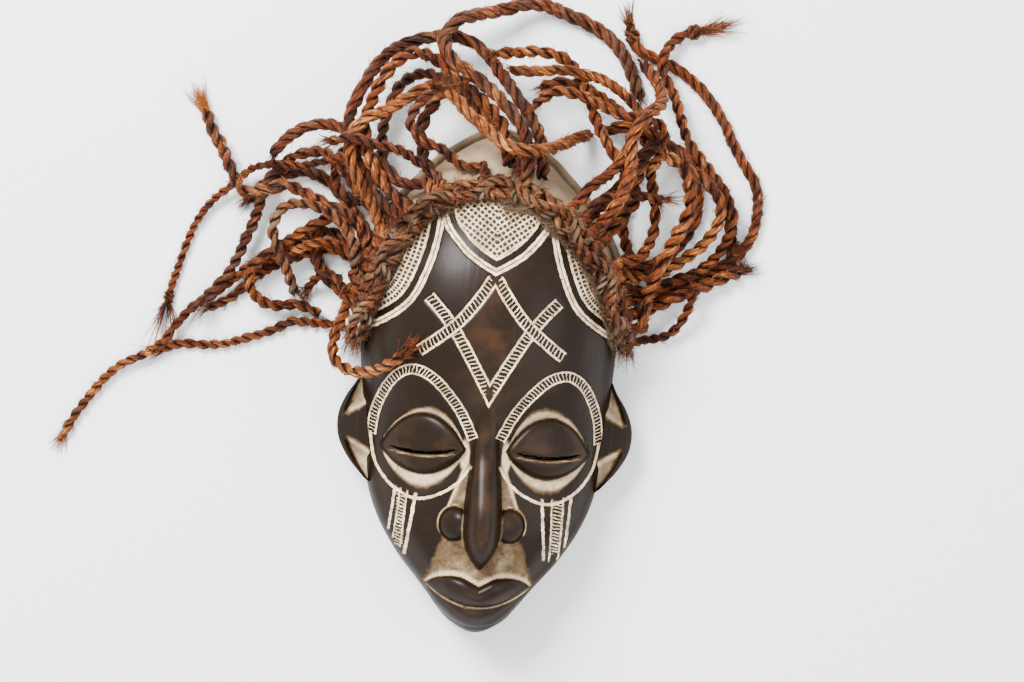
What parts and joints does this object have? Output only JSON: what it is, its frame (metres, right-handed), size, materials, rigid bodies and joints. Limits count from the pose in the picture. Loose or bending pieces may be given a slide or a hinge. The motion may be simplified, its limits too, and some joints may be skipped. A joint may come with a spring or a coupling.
{
  "type": "tribal mask",
  "caption": "Carved dark wood face mask with closed eyes, incised pale bands and a wig of twisted reddish fibre ropes, hollow behind.",
  "frame": {"origin": "bottom centre of the mask and its hairline ropes, on the surface that the back rim lies on", "axes": "+X to the viewer's right, +Y from chin to crown, +Z out of the face"},
  "size_m": [0.4134, 0.3794, 0.0898],
  "materials": {
    "dark_wood": "dark stained, semi-gloss, with pale clay in the carving",
    "dusty_fibre": "dusty twisted fibre",
    "red_fibre": "reddish brown twisted fibre"
  },
  "bodies": {
    "root": {"carved_mask": "dark_wood", "hairline_rope_inner": "dusty_fibre", "hairline_rope_outer": "dusty_fibre", "rope_left_long_pair": "red_fibre", "rope_left_cross_dark": "red_fibre", "rope_right_lower_arch": "red_fibre", "rope_right_inner_hoop": "red_fibre", "rope_crown_low_arc": "red_fibre", "rope_left_dark_arch": "red_fibre", "rope_left_dark_drop": "red_fibre", "rope_left_inner_drop": "red_fibre", "rope_crown_dark_lock": "red_fibre", "rope_right_mid_fall": "red_fibre", "rope_left_low": "red_fibre", "rope_left_long": "red_fibre", "rope_left_loop": "red_fibre", "rope_left_climb": "red_fibre", "rope_left_thin": "red_fibre", "rope_left_orange": "red_fibre", "rope_left_arch": "red_fibre", "rope_crown_outer_arc": "red_fibre", "rope_crown_inner_arc": "red_fibre", "rope_big_arch": "red_fibre", "rope_front_swag": "red_fibre", "rope_crown_lock_left": "red_fibre", "rope_crown_sweep_left": "red_fibre", "rope_right_tall_arch": "red_fibre", "rope_right_inner_arch": "red_fibre", "rope_right_weave": "red_fibre", "rope_right_outer": "red_fibre", "rope_right_dark_end": "red_fibre", "rope_right_brush": "red_fibre", "rope_right_hoop": "red_fibre", "rope_right_thick": "red_fibre", "rope_right_low": "red_fibre", "rope_right_inner_end": "red_fibre", "rope_right_blunt": "red_fibre", "rope_left_fringe": "red_fibre", "rope_left_curl": "red_fibre", "rope_left_small_curl": "red_fibre"}
  },
  "joints": []
}
